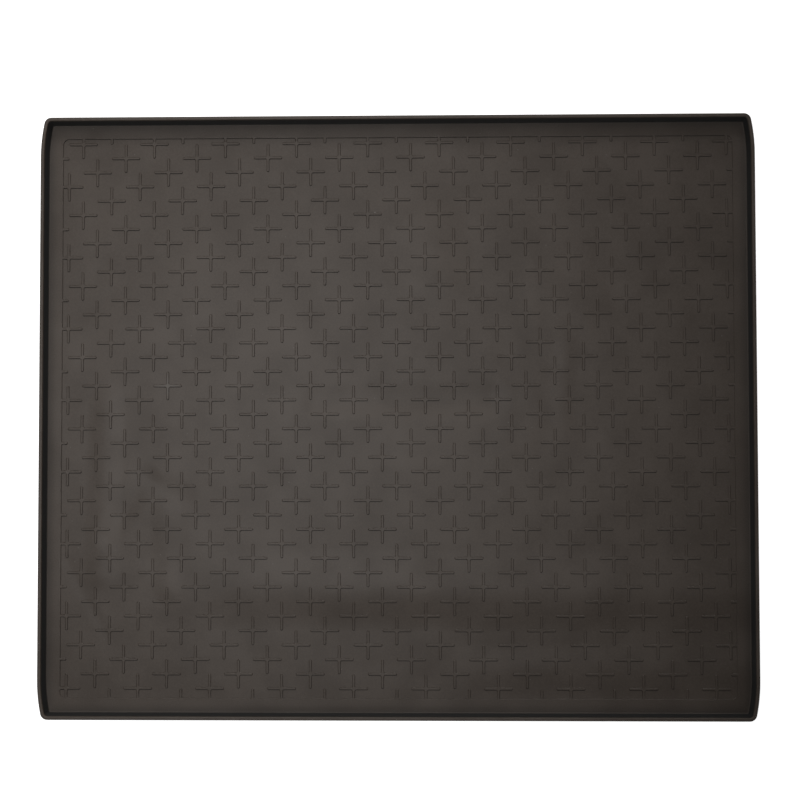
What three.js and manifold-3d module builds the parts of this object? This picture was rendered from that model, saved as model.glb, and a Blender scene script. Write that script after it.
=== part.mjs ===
// Car boot liner: one moulded rubber tray. A low wall with a rounded lip runs all round it, and
// inside a plain border the floor is a shallow recess full of plus-shaped ribs that hold a load.
// Millimetres, +Z up. The origin is under the middle of the tray, on its flat underside.
// X runs across the car and +Y points to the seat backs.

import * as THREE from 'three';
import { mergeVertices } from 'three/addons/utils/BufferGeometryUtils.js';
import Module from 'manifold-3d';

// Floor

const FIELD_WIDTH = 936; // the ribbed field, along X
const FIELD_LENGTH = 780; // the ribbed field, along Y
const FIELD_CORNER = 8;
const FIELD_RECESS = 1; // how far the field lies below the border
const BORDER_WIDTH = 20; // the plain strip from the field to the foot of the wall
const FLOOR_THICKNESS = 4; // at the border

// Wall

const TRAY_HEIGHT = 25;
const WALL_THICKNESS = 5;
const WALL_LEAN = 2; // outwards, from the foot of the wall to its lip
const FOOT_CORNER = 3; // in plan, inside the tray at the foot of the wall
const BASE_EDGE = 2.5; // rounding between the underside and the outside of the wall
const TUCK_LENGTH = 55; // the side walls draw in over this length before each corner
const TUCK_RADIUS = 235; // of the gentle curve that draws them in

// Ribs

const RIB_PITCH = 20; // spacing of the square grid that the crosses stand on
const RIB_REACH = 20; // from the middle of a cross to the tip of an arm
const RIB_WIDTH = 5; // across an arm, where it leaves the middle
const RIB_TIP_SLOPE = 1; // length over which the crest drops to the floor at a tip
const FIRST_ROW = 7; // from the far edge of the field to the first row of the grid
const CROSS_SHIFT = 2; // each grid column starts its crosses this many rows further on
const CROSS_CYCLE = 5; // and repeats them every so many rows
const CROSS_START = 4; // row of the middle column's first cross

// Modelling values

const ARC_STEPS = 4; // straight steps in each rounded stretch
const LIP_STEPS = 6; // straight steps over the lip
const OVERLAP = 1; // depth by which joined shapes reach into each other

const FIELD_LEVEL = FLOOR_THICKNESS - FIELD_RECESS;
const WALL_FOOT = WALL_THICKNESS + WALL_LEAN; // inset of the wall's inner foot from the lip's edge
const TRAY_CORNER = FOOT_CORNER + WALL_FOOT; // in plan, at the outermost edge of the lip
const HALF_WIDTH = FIELD_WIDTH / 2 + BORDER_WIDTH + WALL_FOOT;
const HALF_LENGTH = FIELD_LENGTH / 2 + BORDER_WIDTH + WALL_FOOT;

const wasm = await Module();
wasm.setup();

// A closed geometry as a solid that can be joined and cut.
function solidOf(geometry) {
  geometry.deleteAttribute('normal');
  geometry.deleteAttribute('uv');
  const welded = mergeVertices(geometry);
  return new wasm.Manifold(new wasm.Mesh({
    numProp: 3,
    vertProperties: Float32Array.from(welded.getAttribute('position').array),
    triVerts: Uint32Array.from(welded.getIndex().array),
  }));
}

// A finished solid as a geometry for the scene.
function geometryOf(solid) {
  const mesh = solid.getMesh();
  const geometry = new THREE.BufferGeometry();
  geometry.setAttribute('position', new THREE.BufferAttribute(mesh.vertProperties, 3));
  geometry.setIndex(new THREE.BufferAttribute(mesh.triVerts, 1));
  geometry.computeVertexNormals();
  return geometry;
}

// Corners of the triangles that fill a ring, facing up.
function fillRing(ring) {
  const triangles = THREE.ShapeUtils.triangulateShape(ring, []);
  return triangles.map((corners) => corners.map((corner) => ring[corner]));
}

// A skin stretched over rings of points, from the lowest ring to the last one. Every ring has as
// many Vector3 points, anticlockwise from above. The first is filled, and the last one too unless
// its points meet along a crest, so that it is closed already.
function loft(rings, closedByCrest) {
  const first = rings[0];
  const last = rings[rings.length - 1];
  const faces = fillRing(first).map((corners) => corners.toReversed());
  for (let level = 1; level < rings.length; level += 1) {
    const low = rings[level - 1];
    const high = rings[level];
    for (let i = 0; i < low.length; i += 1) {
      const next = (i + 1) % low.length;
      faces.push([low[i], low[next], high[next]]);
      faces.push([low[i], high[next], high[i]]);
    }
  }
  if (!closedByCrest) faces.push(...fillRing(last));
  return new THREE.BufferGeometry().setFromPoints(faces.flat());
}

// Points of a path lifted to a height.
function ringAt(points, height) {
  return points.map((point) => new THREE.Vector3(point.x, point.y, height));
}

// One quarter of the tray in plan, from the straight of the right side round to the far side,
// lying inset from the outermost edge of the lip. The curves keep their centres.
function quarterOutline(inset) {
  const tuckX = HALF_WIDTH - TUCK_RADIUS;
  const tuckY = HALF_LENGTH - TUCK_LENGTH;
  const turn = Math.asin((TUCK_LENGTH - TRAY_CORNER) / (TUCK_RADIUS - TRAY_CORNER));
  const cornerX = tuckX + (TUCK_RADIUS - TRAY_CORNER) * Math.cos(turn);
  const cornerY = HALF_LENGTH - TRAY_CORNER;
  const tuck = new THREE.ArcCurve(tuckX, tuckY, TUCK_RADIUS - inset, 0, turn);
  const corner = new THREE.ArcCurve(cornerX, cornerY, TRAY_CORNER - inset, turn, Math.PI / 2);
  return [...tuck.getPoints(ARC_STEPS), ...corner.getPoints(ARC_STEPS).slice(1)];
}

// The whole outline, anticlockwise: the quarter and its mirror images.
function trayOutline(inset) {
  const quarter = quarterOutline(inset);
  const mirrored = (x, y) => quarter.map((point) => new THREE.Vector2(x * point.x, y * point.y));
  return [
    ...quarter,
    ...mirrored(-1, 1).reverse(),
    ...mirrored(-1, -1),
    ...mirrored(1, -1).reverse(),
  ];
}

// Section through the wall from the underside, up the outside, over the lip and down to the
// floor: x is the inset from the outermost edge of the lip and y is the height.
function wallSection() {
  const lipRadius = WALL_THICKNESS / 2;
  const lipHeight = TRAY_HEIGHT - lipRadius;
  const edgeX = WALL_LEAN + BASE_EDGE;
  const edge = new THREE.ArcCurve(edgeX, BASE_EDGE, BASE_EDGE, -Math.PI / 2, -Math.PI, true);
  const lip = new THREE.ArcCurve(lipRadius, lipHeight, lipRadius, Math.PI, 0, true);
  const foot = new THREE.Vector2(WALL_FOOT, FLOOR_THICKNESS);
  return [...edge.getPoints(ARC_STEPS), ...lip.getPoints(LIP_STEPS), foot];
}

function trayBlank() {
  const rings = wallSection().map((point) => ringAt(trayOutline(point.x), point.y));
  return solidOf(loft(rings, false));
}

// Field outline as a rounded rectangle, grown by a margin.
function fieldOutline(margin) {
  const x = FIELD_WIDTH / 2 - FIELD_CORNER;
  const y = FIELD_LENGTH / 2 - FIELD_CORNER;
  const radius = FIELD_CORNER + margin;
  const outline = new THREE.Shape();
  outline.absarc(x, y, radius, 0, Math.PI / 2);
  outline.absarc(-x, y, radius, Math.PI / 2, Math.PI);
  outline.absarc(-x, -y, radius, Math.PI, 1.5 * Math.PI);
  outline.absarc(x, -y, radius, 1.5 * Math.PI, 2 * Math.PI);
  return outline;
}

// A block over the field, from a level up to clear of the border. An extruded arc takes two
// steps for each curve segment.
function fieldBlock(margin, bottom) {
  const depth = FLOOR_THICKNESS + OVERLAP - bottom;
  const settings = { depth, bevelEnabled: false, curveSegments: ARC_STEPS / 2 };
  const block = new THREE.ExtrudeGeometry(fieldOutline(margin), settings);
  return solidOf(block.translate(0, 0, bottom));
}

// Plan points of a cross: its four tips, and the four inner corners between them.
function crossPoints(x, y, reach, corner) {
  const points = [];
  for (let arm = 0; arm < 4; arm += 1) {
    const angle = arm * Math.PI / 2;
    const diagonal = angle + Math.PI / 4;
    points.push(new THREE.Vector2(x + reach * Math.cos(angle), y + reach * Math.sin(angle)));
    points.push(new THREE.Vector2(x + corner * Math.cos(diagonal), y + corner * Math.sin(diagonal)));
  }
  return points;
}

// One cross, rooted in the floor, with a crest along each arm that is level with the border.
function crossGeometry(x, y) {
  const foot = crossPoints(x, y, RIB_REACH, RIB_WIDTH / Math.SQRT2);
  const crest = crossPoints(x, y, RIB_REACH - RIB_TIP_SLOPE, 0);
  const rings = [
    ringAt(foot, FIELD_LEVEL - OVERLAP),
    ringAt(foot, FIELD_LEVEL),
    ringAt(crest, FLOOR_THICKNESS),
  ];
  return loft(rings, true);
}

// Middles of all the crosses that reach into the field.
function crossPlaces() {
  const columns = Math.ceil((FIELD_WIDTH / 2 + RIB_REACH) / RIB_PITCH) - 1;
  const rows = Math.ceil((FIELD_LENGTH - FIRST_ROW + RIB_REACH) / RIB_PITCH) - 1;
  const firstReached = Math.ceil((-FIRST_ROW - RIB_REACH) / RIB_PITCH);
  const places = [];
  for (let column = -columns; column <= columns; column += 1) {
    for (let row = firstReached; row <= rows; row += 1) {
      const phase = row - CROSS_START - CROSS_SHIFT * column;
      if (phase % CROSS_CYCLE !== 0) continue;
      const y = FIELD_LENGTH / 2 - FIRST_ROW - row * RIB_PITCH;
      places.push([column * RIB_PITCH, y]);
    }
  }
  return places;
}

// All the ribs, cut off where they run into the border.
function ribs() {
  const crosses = crossPlaces().map(([x, y]) => solidOf(crossGeometry(x, y)));
  const reach = fieldBlock(OVERLAP, FIELD_LEVEL - OVERLAP);
  return wasm.Manifold.union(crosses).intersect(reach);
}

function linerGeometry() {
  const tray = trayBlank().subtract(fieldBlock(0, FIELD_LEVEL));
  return geometryOf(tray.add(ribs()));
}

const rubber = new THREE.MeshStandardMaterial({ color: 0x4e4945, roughness: 0.6, metalness: 0 });

const liner = new THREE.Mesh(linerGeometry(), rubber);
liner.name = 'liner';

const bootLiner = new THREE.Group();
bootLiner.add(liner);

export default bootLiner;
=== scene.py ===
# %% [markdown]
# # A rubber boot liner, dressed for a studio picture
# The real object is a single moulding: a shallow rubber tray that lies in the boot of a car. A
# low wall with a rounded lip runs all round it, then comes a plain border, and inside the border
# the floor is a shallow recess full of plus-shaped ribs. This script builds that moulding again
# with the soft edges and the even, round-ended ribs that the plain solid leaves out, gives it a
# satin rubber finish, and lights it from above on a white floor.

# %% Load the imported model
import math

import bmesh
import bpy
from mathutils import Matrix, Vector


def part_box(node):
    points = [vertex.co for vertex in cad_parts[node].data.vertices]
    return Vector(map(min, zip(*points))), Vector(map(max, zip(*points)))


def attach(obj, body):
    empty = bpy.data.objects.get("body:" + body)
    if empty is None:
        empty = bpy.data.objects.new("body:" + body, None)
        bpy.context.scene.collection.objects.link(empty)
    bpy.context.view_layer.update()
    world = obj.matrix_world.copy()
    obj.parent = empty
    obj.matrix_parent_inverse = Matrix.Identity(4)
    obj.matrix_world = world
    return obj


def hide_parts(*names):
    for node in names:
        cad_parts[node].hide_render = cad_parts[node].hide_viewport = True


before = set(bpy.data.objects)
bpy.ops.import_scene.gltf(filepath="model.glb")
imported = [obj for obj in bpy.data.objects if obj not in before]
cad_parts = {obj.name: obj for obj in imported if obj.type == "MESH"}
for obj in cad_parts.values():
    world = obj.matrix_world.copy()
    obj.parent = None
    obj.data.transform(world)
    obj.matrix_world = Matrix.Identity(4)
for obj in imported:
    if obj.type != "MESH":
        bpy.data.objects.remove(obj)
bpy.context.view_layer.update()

MM = 0.001
TINY = 0.01 * MM

low_corner, high_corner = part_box("liner")
HALF_WIDTH = high_corner.x
HALF_LENGTH = high_corner.y
HEIGHT = high_corner.z

WALL = 5 * MM  # thickness of the wall, and so of the lip
LEAN = 2 * MM  # how far the wall leans outwards between its foot and the lip
BORDER = 20 * MM  # plain strip inside the wall
BORDER_LEVEL = 4 * MM
FIELD_LEVEL = 3 * MM
FIELD_CORNER = 8 * MM
RIM = BORDER + LEAN + WALL
FIELD_X = HALF_WIDTH - RIM
FIELD_Y = HALF_LENGTH - RIM

print(f"ribbed field {2 * FIELD_X / MM:.0f} by {2 * FIELD_Y / MM:.0f} mm")

# %% [markdown]
# ## One rib on its paving stone
# Each rib is a plus with round ends and soft flanks. The crosses stand a knight's move apart, so
# each one owns five squares of the grid, and those five squares are a plus as well. That makes
# a handy unit: one plus-shaped paving stone with its rib on top. Stones laid side by side meet
# edge to edge, and the floor between the ribs comes out as one sheet, with no boolean.
#
# Both pluses start as a grid of three by three faces with its corners taken out. The rib's
# corners are rounded with a vertex bevel, and its flank is raised with insets.

# %% Plus-shaped outlines
PITCH = 20 * MM  # spacing of the grid
STONE_REACH = 1.5 * PITCH  # from the middle of a stone to the end of an arm
RIB_REACH = 20 * MM  # from the middle of a rib to the end of an arm
RIB_WIDTH = 4 * MM  # at the floor
TIP_ROUNDING = 1.2 * MM
INNER_ROUNDING = 1.3 * MM  # where two arms meet
FLANK = ((0.6 * MM, 0.75 * MM), (0.3 * MM, 0.25 * MM))  # run and rise of each band of a flank


def plus_face(bm, half_width, reach):
    """A flat plus-shaped face at the floor of the field, with twelve corners."""
    grid = bmesh.ops.create_grid(bm, x_segments=3, y_segments=3, size=reach)["verts"]
    for vert in grid:
        for axis in (0, 1):
            if abs(vert.co[axis]) < reach / 2:
                vert.co[axis] = math.copysign(half_width, vert.co[axis])
        vert.co.z = FIELD_LEVEL
    faces = list(dict.fromkeys(face for vert in grid for face in vert.link_faces))
    corners = [face for face in faces
               if all(abs(c) > half_width for c in face.calc_center_median().xy)]
    bmesh.ops.delete(bm, geom=corners, context="FACES")
    arms = [face for face in faces if face.is_valid]
    return bmesh.ops.dissolve_faces(bm, faces=arms)["region"][0]


def round_corners(bm, verts, offset):
    """Blunts corners of a flat outline."""
    bmesh.ops.bevel(bm, geom=verts, offset=offset, offset_type="OFFSET", affect="VERTICES",
                    segments=1, profile=0.5, material=-1)


# %% The stone with its rib
def paving_stone():
    """A mesh of one rib and the five squares of floor around it."""
    bm = bmesh.new()
    rib = plus_face(bm, RIB_WIDTH / 2, RIB_REACH)
    tips = [v for v in rib.verts if max(abs(v.co.x), abs(v.co.y)) > RIB_REACH - TINY]
    inner = [v for v in rib.verts if max(abs(v.co.x), abs(v.co.y)) < RIB_WIDTH]
    round_corners(bm, tips, TIP_ROUNDING)
    round_corners(bm, inner, INNER_ROUNDING)
    rib = bm.faces[:][0]
    foot = rib.edges[:]

    stone = plus_face(bm, PITCH / 2, STONE_REACH)
    edge = stone.edges[:]
    bmesh.ops.delete(bm, geom=[stone], context="FACES_ONLY")
    filled = bmesh.ops.triangle_fill(bm, edges=foot + edge, use_beauty=True)["geom"]
    seams = [part for part in filled if isinstance(part, bmesh.types.BMEdge)]
    bmesh.ops.dissolve_limit(bm, angle_limit=0.01, verts=[], edges=seams)
    for edge in foot:
        edge.smooth = False

    for run, rise in FLANK:
        bmesh.ops.inset_region(bm, faces=[rib], thickness=run, depth=rise, use_even_offset=True)
    for face in bm.faces:
        if face.normal.z < 0:
            face.normal_flip()
    mesh = bpy.data.meshes.new("paving_stone")
    bm.to_mesh(mesh)
    bm.free()
    return mesh


stone_mesh = paving_stone()
stone_tops = [round(v.co.z / MM, 2) for v in stone_mesh.vertices]
print(f"one stone: {len(stone_mesh.polygons)} faces, {min(stone_tops)} to {max(stone_tops)} mm up")

# %% [markdown]
# ## The ribbed field
# The pattern is a square grid on which a cross stands at every fifth place of a row, two places
# further on in the next column. The stones are duplicated to all those places, welded, and then
# cut to the field's outline, as a tiler cuts the last row along a wall. A bisect per side of
# the outline does that, with three slanting cuts for each rounded corner.

# %% Lay the stones
FIRST_ROW = 7 * MM  # from the far edge of the field to the first row of the grid
ROW_START = 4  # row of the middle column's first cross
ROW_SHIFT = 2  # each column starts its crosses this many rows further on
ROW_CYCLE = 5  # and repeats them every so many rows


def cross_places():
    """Middles of all the stones that reach into the field."""
    columns = int((FIELD_X + STONE_REACH) / PITCH)
    beyond = math.ceil(STONE_REACH / PITCH)
    rows = range(-beyond, int((2 * FIELD_Y + STONE_REACH) / PITCH) + beyond)
    for column in range(-columns, columns + 1):
        for row in rows:
            y = FIELD_Y - FIRST_ROW - row * PITCH
            has_cross = (row - ROW_START - ROW_SHIFT * column) % ROW_CYCLE == 0
            if has_cross and abs(y) < FIELD_Y + STONE_REACH:
                yield Vector((column * PITCH, y, 0))


def lay_stones():
    """All the stones, welded into one sheet."""
    bm = bmesh.new()
    bm.from_mesh(stone_mesh)
    stone = bm.verts[:] + bm.edges[:] + bm.faces[:]
    for place in cross_places():
        copy = bmesh.ops.duplicate(bm, geom=stone)["geom"]
        moved = [part for part in copy if isinstance(part, bmesh.types.BMVert)]
        bmesh.ops.translate(bm, verts=moved, vec=place)
    bmesh.ops.delete(bm, geom=stone, context="VERTS")
    bmesh.ops.remove_doubles(bm, verts=bm.verts, dist=TINY)
    return bm


field = lay_stones()
print(f"{len(list(cross_places()))} stones laid, {len(field.faces)} faces")

# %% Cut the sheet to the field
CORNER_CUTS = 3  # slanting cuts at each rounded corner


def field_cuts():
    """A point and an outward direction for each straight cut, going round the field."""
    core = Vector((FIELD_X - FIELD_CORNER, FIELD_Y - FIELD_CORNER, 0))
    turn = math.pi / 2 / (CORNER_CUTS + 1)
    for cut in range(4 * (CORNER_CUTS + 1)):
        outward = Vector((math.cos(cut * turn), math.sin(cut * turn), 0))
        corner = Vector((math.copysign(core.x, outward.x), math.copysign(core.y, outward.y), 0))
        yield corner + FIELD_CORNER * outward, outward


for point, outward in field_cuts():
    everything = field.verts[:] + field.edges[:] + field.faces[:]
    bmesh.ops.bisect_plane(field, geom=everything, dist=TINY / 10, plane_co=point,
                           plane_no=outward, clear_outer=True)
print(f"field cut to size, {len(field.faces)} faces")

# %% [markdown]
# ## The step up to the border
# The border lies level with the tops of the ribs, so a rib that reaches it simply runs on into
# it and breaks the thin line of the step. The cut edge of the field already knows where that
# happens: its points are low on the floor and high on a rib. Extruding that edge outwards, and
# lifting only what lies lower than the next level, gives the step with the same soft flank as
# the ribs have.

# %% Raise the step
def outwards(point):
    """Direction from the field's straight-sided core to a point on its rounded outline."""
    core_x = FIELD_X - FIELD_CORNER
    core_y = FIELD_Y - FIELD_CORNER
    nearest = Vector((max(-core_x, min(core_x, point.x)), max(-core_y, min(core_y, point.y)), 0))
    return (Vector((point.x, point.y, 0)) - nearest).normalized()


def ends_of(edges):
    """The points at the ends of some edges, each once."""
    return list(dict.fromkeys(vert for edge in edges for vert in edge.verts))


def raise_step(bm):
    """Extrudes the field's edge out and up to the border, one band at a time."""
    rim = [edge for edge in bm.edges if edge.is_boundary]
    for edge in rim:
        edge.smooth = all(vert.co.z > FIELD_LEVEL + TINY for vert in edge.verts)
    level = FIELD_LEVEL
    for run, rise in FLANK:
        level += rise
        made = bmesh.ops.extrude_edge_only(bm, edges=rim)["geom"]
        rim = [part for part in made if isinstance(part, bmesh.types.BMEdge)]
        for vert in ends_of(rim):
            vert.co += run * outwards(vert.co)
            vert.co.z = max(vert.co.z, level)
    for vert in ends_of(rim):
        vert.co.z = BORDER_LEVEL


raise_step(field)
print(f"step raised, {len(field.faces)} faces")

# %% [markdown]
# ## The wall and its lip
# The wall is one section carried all round the tray. The section is drawn like a pen stroke at
# the middle of the right side: a quarter turn under the foot, straight up with a slight lean,
# over the rounded lip, down the inside, and a small fillet onto the border. Every curve is a
# spin and every straight an extrusion, so all joints are smooth.
#
# The stroke is then swept round a quarter of the tray: straight along the side, round the gentle
# tuck that draws the side in, round the tight corner, and along the far side to the middle. Two
# mirrors finish the ring.

# %% Draw the section
LIP_EDGE = 1.4 * MM  # rounding on both sides of the lip
BASE_RADIUS = 2.5 * MM
FILLET = 2 * MM  # at the foot of the wall, inside
ROUND_STEPS = 4  # straight steps in the roundings at the foot of the wall
LIP_STEPS = 6  # and in each rounding of the lip
BASE = Vector((HALF_WIDTH - LEAN - BASE_RADIUS, 0, BASE_RADIUS))
LIP = Vector((HALF_WIDTH - LIP_EDGE, 0, HEIGHT - LIP_EDGE))

# The outside of the wall is the straight line that touches both of its rounded ends.
RISE = LIP - BASE
LEAN_ANGLE = math.atan2(RISE.x, RISE.z) - math.asin((BASE_RADIUS - LIP_EDGE) / RISE.length)
STRAIGHT = math.sqrt(RISE.length_squared - (BASE_RADIUS - LIP_EDGE) ** 2)


def draw_arc(bm, start, centre, angle, steps):
    """Draws an arc in the section's plane, anticlockwise for a positive angle."""
    made = bmesh.ops.spin(bm, geom=[start], cent=centre, axis=(0, -1, 0), angle=angle, steps=steps)
    return made["geom_last"][0]


def draw_line(bm, start, step):
    """Draws a straight line."""
    made = bmesh.ops.extrude_vert_indiv(bm, verts=[start])["verts"]
    bmesh.ops.translate(bm, verts=made, vec=step)
    return made[0]


def draw_section(bm):
    """The wall's section, from the underside round the lip to the border."""
    up = Vector((math.sin(LEAN_ANGLE), 0, math.cos(LEAN_ANGLE)))
    inwards = Vector((-(WALL - 2 * LIP_EDGE) / up.z, 0, 0))
    foot_level = BORDER_LEVEL + FILLET * (1 - up.x)

    tip = bm.verts.new((BASE.x, 0, 0))
    tip = draw_arc(bm, tip, BASE, math.pi / 2 - LEAN_ANGLE, ROUND_STEPS)
    tip = draw_line(bm, tip, STRAIGHT * up)
    tip = draw_arc(bm, tip, LIP, math.pi / 2 + LEAN_ANGLE, LIP_STEPS)
    tip = draw_line(bm, tip, inwards)
    tip = draw_arc(bm, tip, LIP + inwards, math.pi / 2 - LEAN_ANGLE, LIP_STEPS)
    tip = draw_line(bm, tip, -up * (tip.co.z - foot_level) / up.z)
    fillet = tip.co + FILLET * Vector((-up.z, 0, up.x))
    tip = draw_arc(bm, tip, fillet, LEAN_ANGLE - math.pi / 2, ROUND_STEPS)
    print(f"section ends {(HALF_WIDTH - tip.co.x) / MM:.1f} mm in, {tip.co.z / MM:.2f} mm up")
    return bm.edges[:]


# %% Sweep it round the tray
TUCK_LENGTH = 55 * MM  # the sides draw in over this length before each corner
TUCK_RADIUS = 235 * MM
CORNER = 10 * MM  # in plan, at the outer edge of the lip
STRAIGHT_STEP = 30 * MM  # about the length of each step along a straight side
TUCK_STEPS = 6
CORNER_STEPS = 8


def sweep(bm, edges, turn, steps, centre=(0, 0, 0), along=(0, 0, 0)):
    """Sweeps edges round a centre or along a line and returns the last ones."""
    made = bmesh.ops.spin(bm, geom=edges, cent=centre, axis=(0, 0, 1), dvec=along,
                          angle=turn, steps=steps)
    return [part for part in made["geom_last"] if isinstance(part, bmesh.types.BMEdge)]


def wall_ring():
    """The whole wall with its lip, open below and at the border."""
    bm = bmesh.new()
    edges = draw_section(bm)
    tuck = Vector((HALF_WIDTH - TUCK_RADIUS, HALF_LENGTH - TUCK_LENGTH, 0))
    turn = math.asin((TUCK_LENGTH - CORNER) / (TUCK_RADIUS - CORNER))
    corner = tuck + (TUCK_RADIUS - CORNER) * Vector((math.cos(turn), math.sin(turn), 0))

    steps = round(tuck.y / STRAIGHT_STEP)
    edges = sweep(bm, edges, 0, steps, along=(0, tuck.y / steps, 0))
    edges = sweep(bm, edges, turn, TUCK_STEPS, centre=tuck)
    edges = sweep(bm, edges, math.pi / 2 - turn, CORNER_STEPS, centre=corner)
    steps = round(corner.x / STRAIGHT_STEP)
    sweep(bm, edges, 0, steps, along=(-corner.x / steps, 0, 0))

    for axis in ("X", "Y"):
        whole = bm.verts[:] + bm.edges[:] + bm.faces[:]
        bmesh.ops.mirror(bm, geom=whole, matrix=Matrix(), merge_dist=TINY, axis=axis)
    bmesh.ops.remove_doubles(bm, verts=bm.verts, dist=TINY)
    mesh = bpy.data.meshes.new("wall_ring")
    bm.to_mesh(mesh)
    bm.free()
    return mesh


wall_mesh = wall_ring()
print(f"wall: {len(wall_mesh.polygons)} faces")

# %% [markdown]
# ## One moulding
# The field and the wall are brought together, and the plain border between them is filled as one
# flat strip, as is the underside, which is smooth on the real tray as well. Weighted normals
# keep the flat floor flat, so that only the flanks and the rounded wall catch the light.

# %% Join, fill and close
def edges_at(bm, level):
    """Open edges that lie at one height."""
    return [edge for edge in bm.edges
            if edge.is_boundary and all(abs(v.co.z - level) < TINY for v in edge.verts)]


field.from_mesh(wall_mesh)
bmesh.ops.triangle_fill(field, edges=edges_at(field, BORDER_LEVEL), use_beauty=True)
bmesh.ops.contextual_create(field, geom=edges_at(field, 0))
bmesh.ops.recalc_face_normals(field, faces=field.faces)
open_edges = sum(not edge.is_manifold for edge in field.edges)
print(f"{open_edges} open edges, volume {field.calc_volume() / MM ** 3 / 1000:.0f} cm3")

moulding_mesh = bpy.data.meshes.new("boot_liner_moulding")
field.to_mesh(moulding_mesh)
field.free()
for polygon in moulding_mesh.polygons:
    polygon.use_smooth = True

moulding = bpy.data.objects.new("boot_liner_moulding", moulding_mesh)
bpy.context.scene.collection.objects.link(moulding)
weighting = moulding.modifiers.new("flat floor stays flat", "WEIGHTED_NORMAL")
weighting.weight = 100
weighting.keep_sharp = True
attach(moulding, "root")
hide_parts("liner")

moulding_mesh.calc_loop_triangles()
triangles = len(moulding_mesh.loop_triangles)
print(f"moulding: {len(moulding_mesh.polygons)} faces, {triangles} triangles")

# %% [markdown]
# ## Writing materials as sums
# A procedural finish is a small sum of patterns. To keep it readable, one class stands for a
# varying number, and adding or multiplying such numbers adds the Math nodes. The tree class
# makes every other node: it sets the node's own settings first, and then its sockets.

# %% Node helpers
class Amount:
    """A number that varies over a surface."""

    def __init__(self, tree, socket):
        self.tree = tree
        self.socket = socket

    def __add__(self, other):
        return self.tree.maths("ADD", self, other)

    def __radd__(self, other):
        return self.tree.maths("ADD", other, self)

    def __sub__(self, other):
        return self.tree.maths("SUBTRACT", self, other)

    def __rsub__(self, other):
        return self.tree.maths("SUBTRACT", other, self)

    def __mul__(self, other):
        return self.tree.maths("MULTIPLY", self, other)

    def __rmul__(self, other):
        return self.tree.maths("MULTIPLY", other, self)


class Tree:
    """The node tree of a material or of the world."""

    def __init__(self, owner):
        owner.use_nodes = True
        self.tree = owner.node_tree
        self.tree.nodes.clear()

    def node(self, kind, settings, sockets, out=0):
        """Adds a node, sets it up, feeds its sockets and gives one of its outputs."""
        made = self.tree.nodes.new(kind)
        for name, value in settings.items():
            setattr(made, name, value)
        for name, value in sockets.items():
            if isinstance(value, Amount):
                self.tree.links.new(value.socket, made.inputs[name])
            else:
                made.inputs[name].default_value = value
        return Amount(self, made.outputs[out]) if made.outputs else None

    def maths(self, operation, *values):
        """A Math node."""
        return self.node("ShaderNodeMath", {"operation": operation}, dict(enumerate(values)))

    def vector_maths(self, operation, sockets, out="Vector"):
        """A Vector Math node."""
        return self.node("ShaderNodeVectorMath", {"operation": operation}, sockets, out)

    def part(self, vector, axis):
        """One of the three numbers of a vector."""
        return self.node("ShaderNodeSeparateXYZ", {}, {"Vector": vector}, axis)

    def noise(self, place, size, detail=2):
        """Soft noise with blobs of about one size, in metres."""
        sockets = {"Vector": place, "Scale": 1 / size, "Detail": detail}
        return self.node("ShaderNodeTexNoise", {}, sockets, "Fac")

    def fade(self, amount, start, end):
        """0 up to the start, 1 from the end on, and a soft ramp between them."""
        sockets = {"Value": amount, "From Min": start, "From Max": end}
        return self.node("ShaderNodeMapRange", {"interpolation_type": "SMOOTHSTEP"}, sockets)

    def blend(self, share, first, second):
        """A mix of two colours."""
        sockets = {"Factor": share, 6: first, 7: second}
        return self.node("ShaderNodeMix", {"data_type": "RGBA"}, sockets, 2)

    def bump(self, height, depth, strength, under=None):
        """A bump of a depth in metres, over another one if there is one."""
        sockets = {"Height": height, "Distance": depth, "Strength": strength}
        if under:
            sockets["Normal"] = under
        return self.node("ShaderNodeBump", {}, sockets)

    def light_path(self, kind):
        """1 for one kind of ray and 0 for the others."""
        return self.node("ShaderNodeLightPath", {}, {}, kind)

    def background_rays(self):
        """1 for the rays that show the background, straight or through gloss or glass."""
        seen = self.light_path("Is Camera Ray") + self.light_path("Is Glossy Ray")
        return self.maths("MINIMUM", seen + self.light_path("Is Transmission Ray"), 1)


# %% [markdown]
# ## Satin rubber
# The liner is a warm, very dark grey. Up close it has the fine even grain of an etched mould.
# From further off it is cloudy. Shade is painted into the colour as well: steep faces, such as
# the sides of the wall and the flanks of the ribs and the step, are painted almost black, and the
# floor beside the wall and the slopes that face the near end are painted darker. The lip is left
# out of this painted shade. Each pattern is noise at its own scale, and the slope comes from the
# normal.

# %% Rubber: place, slope and painted shade
SHADE_SLOPES = (0.1, 0.88)  # upward share of the normal where the painted shade is full and where it ends
UNSHADED_BY_WALL = 0.6  # share of the colour kept beside the wall, the rest is painted shade
WALL_SHADE_REACH = (5 * MM, 22 * MM)  # from the tray's edge, where the painted shade starts to lift and where it is gone
AWAY_FROM_LIGHT = (0.5, -0.85, 0)  # slopes that face this way, away from the lamps, get painted shade
AWAY_SLOPES = (0.15, 0.65)  # how far they face that way, where the painted shade starts and is full
AWAY_SHADE_SHARE = 0.65  # share of the colour painted away there as shade
LIP_HEIGHTS = (21 * MM, 23.5 * MM)  # over the lip no shade is painted

satin_rubber = bpy.data.materials.new("satin_rubber")
rubber = Tree(satin_rubber)
place = rubber.node("ShaderNodeTexCoord", {}, {}, "Object")
across, along, height = [rubber.part(place, axis) for axis in "XYZ"]
normal = rubber.node("ShaderNodeTexCoord", {}, {}, "Normal")

from_side = HALF_WIDTH - rubber.maths("ABSOLUTE", across)
from_end = HALF_LENGTH - rubber.maths("ABSOLUTE", along)
from_edge = rubber.maths("MINIMUM", from_side, from_end)
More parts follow.
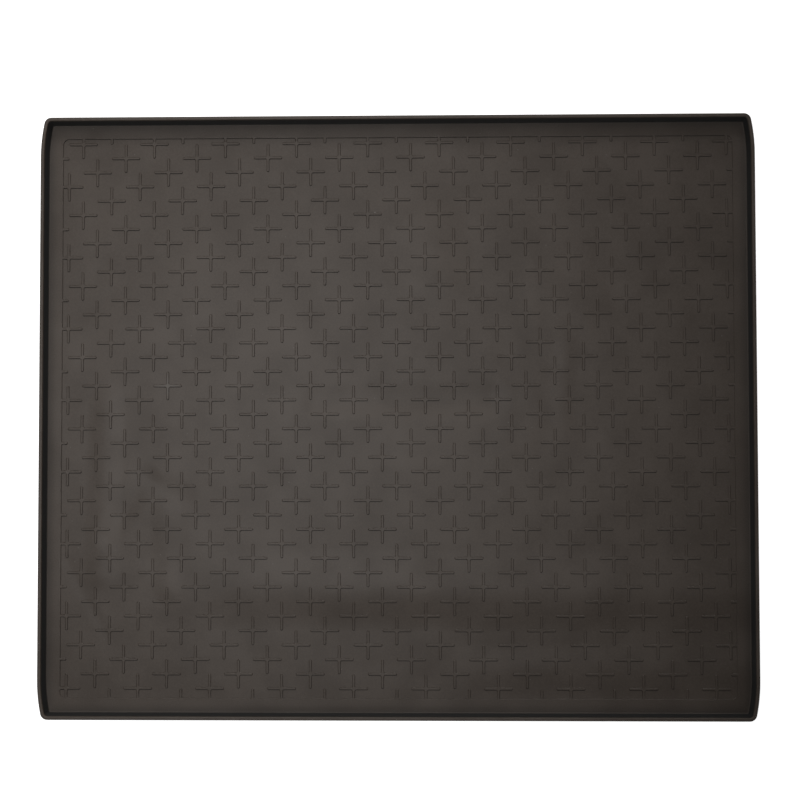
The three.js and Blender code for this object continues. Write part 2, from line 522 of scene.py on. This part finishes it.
# Painted shade beside the wall: the colour darkens towards the tray's edge.
thickness = UNSHADED_BY_WALL + (1 - UNSHADED_BY_WALL) * rubber.fade(from_edge, *WALL_SHADE_REACH)
facing_away = rubber.vector_maths("DOT_PRODUCT", {0: normal, 1: AWAY_FROM_LIGHT}, "Value")

# Painted shade on steep faces and on slopes that face away from the lamps; 1 where none is
# painted.
unshaded_share = rubber.fade(rubber.part(normal, "Z"), *SHADE_SLOPES) * thickness
unshaded_share = unshaded_share * (1 - AWAY_SHADE_SHARE * rubber.fade(facing_away, *AWAY_SLOPES))
unshaded_share = rubber.maths("MAXIMUM", unshaded_share, rubber.fade(height, *LIP_HEIGHTS))

# %% [markdown]
# Rolling up leaves straight creases, and the painted highlights are straight bands too, so the
# finish needs soft lines as well as noise. A line takes only the distance from a point to the
# stretch between two places.

# %% Rubber: lines on the tray
flat_place = rubber.vector_maths("MULTIPLY", {0: place, 1: (1, 1, 0)})


def line(start, end, reach):
    """A soft line between two places of the tray, 1 along its middle and 0 beyond its reach."""
    run = Vector(end) - Vector(start)
    arrow = rubber.vector_maths("SUBTRACT", {0: flat_place, 1: (*start, 0)})
    per_metre = (*(run / run.length_squared), 0)
    walked = rubber.vector_maths("DOT_PRODUCT", {0: arrow, 1: per_metre}, "Value")
    share = rubber.maths("MINIMUM", rubber.maths("MAXIMUM", walked, 0), 1)
    nearest = rubber.vector_maths("SCALE", {0: (*run, 0), "Scale": share})
    away = rubber.vector_maths("DISTANCE", {0: arrow, 1: nearest}, "Value")
    return 1 - rubber.fade(away, 0, reach)


def add_lines(total, marks):
    """Adds lines to a sum. A mark has a weight, its two ends and its reach in millimetres."""
    for weight, start, end, reach in marks:
        total = total + weight * line(start, end, reach * MM)
    return total


# %% Rubber: colour
DARK_RUBBER = (0.0410, 0.0285, 0.0196, 1)
PALE_RUBBER = (0.0606, 0.0451, 0.0340, 1)
# painted shade: the near-black colour that steep and shaded places get
PAINTED_SHADE_RUBBER = (0.007, 0.0065, 0.006, 1)
CLOUDINESS = (0.36, 0.64)  # of the noise, where the colour is darkest and palest
HIGHLIGHT_BAND_STRENGTH = 1.4  # the painted highlights are strongest where it is cloudy
# painted highlights: paler bands where the waves of the sheet catch the sheen
PAINTED_HIGHLIGHT_BANDS = (
    (1.0, (-0.11, 0.006), (0.13, 0.004), 18),
    (0.6, (-0.02, -0.062), (0.06, -0.062), 14),
    (0.8, (0.05, 0.235), (0.035, 0.265), 45),
    (0.5, (-0.388, 0.0), (-0.402, -0.16), 24),
    (0.5, (-0.304, -0.12), (-0.308, -0.24), 22),
    (0.5, (0.187, 0.205), (0.192, 0.130), 14),
)

cloud = rubber.noise(place, 65 * MM, detail=4)
broad = rubber.noise(place, 220 * MM, detail=1)
mottle = rubber.noise(place, 2 * MM)
paleness = rubber.fade(0.44 * cloud + 0.18 * broad + 0.38 * mottle, *CLOUDINESS)
tone_and_painted_highlight = paleness + HIGHLIGHT_BAND_STRENGTH * cloud * add_lines(0, PAINTED_HIGHLIGHT_BANDS)
colour = rubber.blend(tone_and_painted_highlight, DARK_RUBBER, PALE_RUBBER)
# painted shade: the colour goes almost black where the mask is low
colour = rubber.blend(unshaded_share, PAINTED_SHADE_RUBBER, colour)

# %% [markdown]
# A few marks are particular to this liner: sparse specks of dust, one paler fleck near the far
# edge, and one rib whose crest has been scuffed. The dust is a Voronoi pattern in space, of
# which only the few points that happen to lie in the surface show.

# %% Rubber: dust and a scuff
DUST = (0.16, 0.15, 0.14, 1)
DUST_CELL = 22 * MM
FLECK = (-0.030, 0.285, 0.003)
SCUFFED_RIB = (-0.320, 0.043, 0.004)
CREST_HEIGHTS = (3.7 * MM, 3.9 * MM)  # only the crest of that rib is scuffed


def spot(point, inner, outer):
    """1 within the inner distance of a point of the tray and 0 beyond the outer one."""
    away = rubber.vector_maths("DISTANCE", {0: place, 1: point}, "Value")
    return 1 - rubber.fade(away, inner, outer)


cells = {"Vector": place, "Scale": 1 / DUST_CELL}
to_dust = DUST_CELL * rubber.node("ShaderNodeTexVoronoi", {}, cells, "Distance")
dust = 1 - rubber.fade(to_dust, 0.3 * MM, 0.9 * MM)
fleck = spot(FLECK, 0.6 * MM, 1.6 * MM)
scuff = rubber.fade(height, *CREST_HEIGHTS) * spot(SCUFFED_RIB, 6 * MM, 22 * MM)
for share in (0.5 * dust, 0.7 * fleck, 0.25 * scuff):
    colour = rubber.blend(share, colour, DUST)

# %% [markdown]
# ## Relief of the sheet
# A liner of this kind travels rolled up, and keeps faint creases from it. The widest is one long
# roll across the near end, and shorter ones lie in the middle and along the left side. They are
# far too shallow to see as a shape, but each tilts the sheen a little: the side of a crease that
# leans to the light is paler, and the other is darker. Each is a line again, its weight is its
# height in millimetres, and one below zero is a hollow.

# %% Rubber: creases
CREASES = (
    (2.2, (0.055, 0.20), (0.045, 0.26), 60),
    (0.4, (0.235, 0.10), (0.230, 0.0), 20),
    (1.1, (-0.405, 0.02), (-0.412, -0.22), 28),
    (0.8, (-0.322, -0.13), (-0.318, -0.24), 24),
    (-1.8, (-0.11, 0.024), (0.13, 0.024), 32),
    (-0.9, (-0.33, -0.10), (-0.30, -0.11), 26),
    (-1.2, (-0.349, -0.087), (-0.403, -0.167), 24),
    (-0.25, (-0.460, -0.20), (-0.406, -0.30), 13),
)

# The two rolls rise slowly from the left and run out under the right side.
roll = line((-0.35, -0.238), (0.60, -0.246), 58 * MM) * rubber.fade(across, -0.42, -0.05)
second_roll = line((0.0, -0.350), (0.60, -0.350), 38 * MM) * rubber.fade(across, 0.02, 0.22)
creases = add_lines(4.6 * roll + 1.6 * second_roll, CREASES)

# %% [markdown]
# The bumps are stacked from the broadest to the finest, because each Bump node tilts the one
# before it: a slow swell of the whole sheet, the creases, and the grain of the mould.

# %% Rubber: stack of bumps
STEEP_ROUGHNESS = 0.84
FLAT_SHEEN = 0.29  # by how much the flat parts, where no shade is painted, are smoother than the steep ones

swell = rubber.noise(place, 110 * MM)
grain = rubber.noise(place, 0.7 * MM)
relief = rubber.bump(swell, depth=2.5 * MM, strength=1)
relief = rubber.bump(creases, depth=1 * MM, strength=1, under=relief)
relief = rubber.bump(grain, depth=0.06 * MM, strength=0.7, under=relief)
patches = 0.06 * (mottle - 0.5) - 0.04 * (cloud - 0.5)
roughness = STEEP_ROUGHNESS + unshaded_share * (patches - FLAT_SHEEN)

# %% Rubber: put together
surface = rubber.node("ShaderNodeBsdfPrincipled", {}, {
    "Base Color": colour,
    "Roughness": roughness,
    "Normal": relief,
})
rubber.node("ShaderNodeOutputMaterial", {}, {"Surface": surface})
moulding_mesh.materials.append(satin_rubber)
print(f"satin rubber: {len(satin_rubber.node_tree.nodes)} nodes")

# %% [markdown]
# ## Floor and light
# The tray lies on a white floor. One lamp hangs almost straight above it and another leans in
# from beyond the far end, so the insides of the wall stay dark while the floor of the tray is
# well lit, and the near sides of the ribs are darker than the far ones. Painted shade in the
# rubber's colour darkens the wall and those near sides further. The floor and the low
# backdrop all round it glow white only for rays that show the background, straight or by gloss
# or glass, so they throw no more light on the rubber, and the floor keeps the soft shadow of
# the wall.

# %% White floor
FLOOR_REACH = 12  # metres, from the tray to each side
FLOOR_DROP = 0.5 * MM  # keeps the floor clear of the tray's underside
FLOOR_GLOW = 0.87  # of full white, for the rays that show the background
PAPER_WHITE = (0.82, 0.82, 0.82, 1)

floor_mesh = bpy.data.meshes.new("white_floor")
bm = bmesh.new()
bmesh.ops.create_grid(bm, x_segments=1, y_segments=1, size=FLOOR_REACH)
bmesh.ops.translate(bm, verts=bm.verts, vec=(0, 0, -FLOOR_DROP))
bm.to_mesh(floor_mesh)
bm.free()
floor = bpy.data.objects.new("white_floor", floor_mesh)
bpy.context.scene.collection.objects.link(floor)

white_paper = bpy.data.materials.new("white_paper")
paper = Tree(white_paper)
matt = paper.node("ShaderNodeBsdfDiffuse", {}, {"Color": PAPER_WHITE})
glow = paper.node("ShaderNodeEmission", {}, {"Strength": FLOOR_GLOW * paper.background_rays()})
both = paper.node("ShaderNodeAddShader", {}, {0: matt, 1: glow})
paper.node("ShaderNodeOutputMaterial", {}, {"Surface": both})
floor_mesh.materials.append(white_paper)

# %% World
AMBIENT = 0.145  # dim light from all sides
BACKDROP_EDGE = (0.15, 0.35)  # upward part of a direction, about 10 to 20 degrees up

world = bpy.data.worlds.new("studio")
bpy.context.scene.world = world
sky = Tree(world)
direction = sky.node("ShaderNodeTexCoord", {}, {}, "Generated")
backdrop = 1 - sky.fade(sky.part(direction, "Z"), *BACKDROP_EDGE)
background = sky.node("ShaderNodeBackground", {}, {
    "Color": (1, 1, 1, 1),
    "Strength": AMBIENT + (1 - AMBIENT) * backdrop * sky.background_rays(),
})
sky.node("ShaderNodeOutputWorld", {}, {"Surface": background})

# %% Lamps
BRIGHT_SPOT = (-0.42, 0.18, 0)  # the middle of the best lit part of the tray
FULL_LIGHT = 4 * math.pi ** 2  # watts at one metre that light white to 1


def beam(name, spot_place, width, radius, level):
    """A spot lamp of a width in degrees and a radius in metres, aimed at the bright spot.

    A level of 1 shows white as white there.
    """
    lamp = bpy.data.lights.new(name, "SPOT")
    lamp.spot_size = math.radians(width)
    lamp.spot_blend = 1
    lamp.shadow_soft_size = radius
    reach = Vector(BRIGHT_SPOT) - Vector(spot_place)
    lamp.energy = level * FULL_LIGHT * reach.length_squared
    thing = bpy.data.objects.new(name, lamp)
    thing.location = spot_place
    thing.rotation_euler = reach.to_track_quat("-Z", "Y").to_euler()
    bpy.context.scene.collection.objects.link(thing)


beam("overhead_lamp", (-0.4, 0.0, 2.6), width=57, radius=0.3, level=0.395)
beam("slanting_lamp", (-0.1, 2.75, 1.9), width=50, radius=0.7, level=0.445)

# %% [markdown]
# ## Camera
# The photograph looks almost straight down from about two metres. Its lens and place follow from
# where the corners and edges of the tray fall in the picture.

# %% Camera
lens = bpy.data.cameras.new("camera")
lens.lens = 62.3
lens.sensor_width = 36
camera = bpy.data.objects.new("camera", lens)
camera.location = (0.045, -0.0432, 1.9294)
camera.rotation_euler = (math.radians(1.952), math.radians(1.201), math.radians(-0.087))
bpy.context.scene.collection.objects.link(camera)
bpy.context.scene.camera = camera
bpy.context.scene.view_settings.view_transform = "Standard"

# %% Bring the scene up to date
bpy.context.view_layer.update()
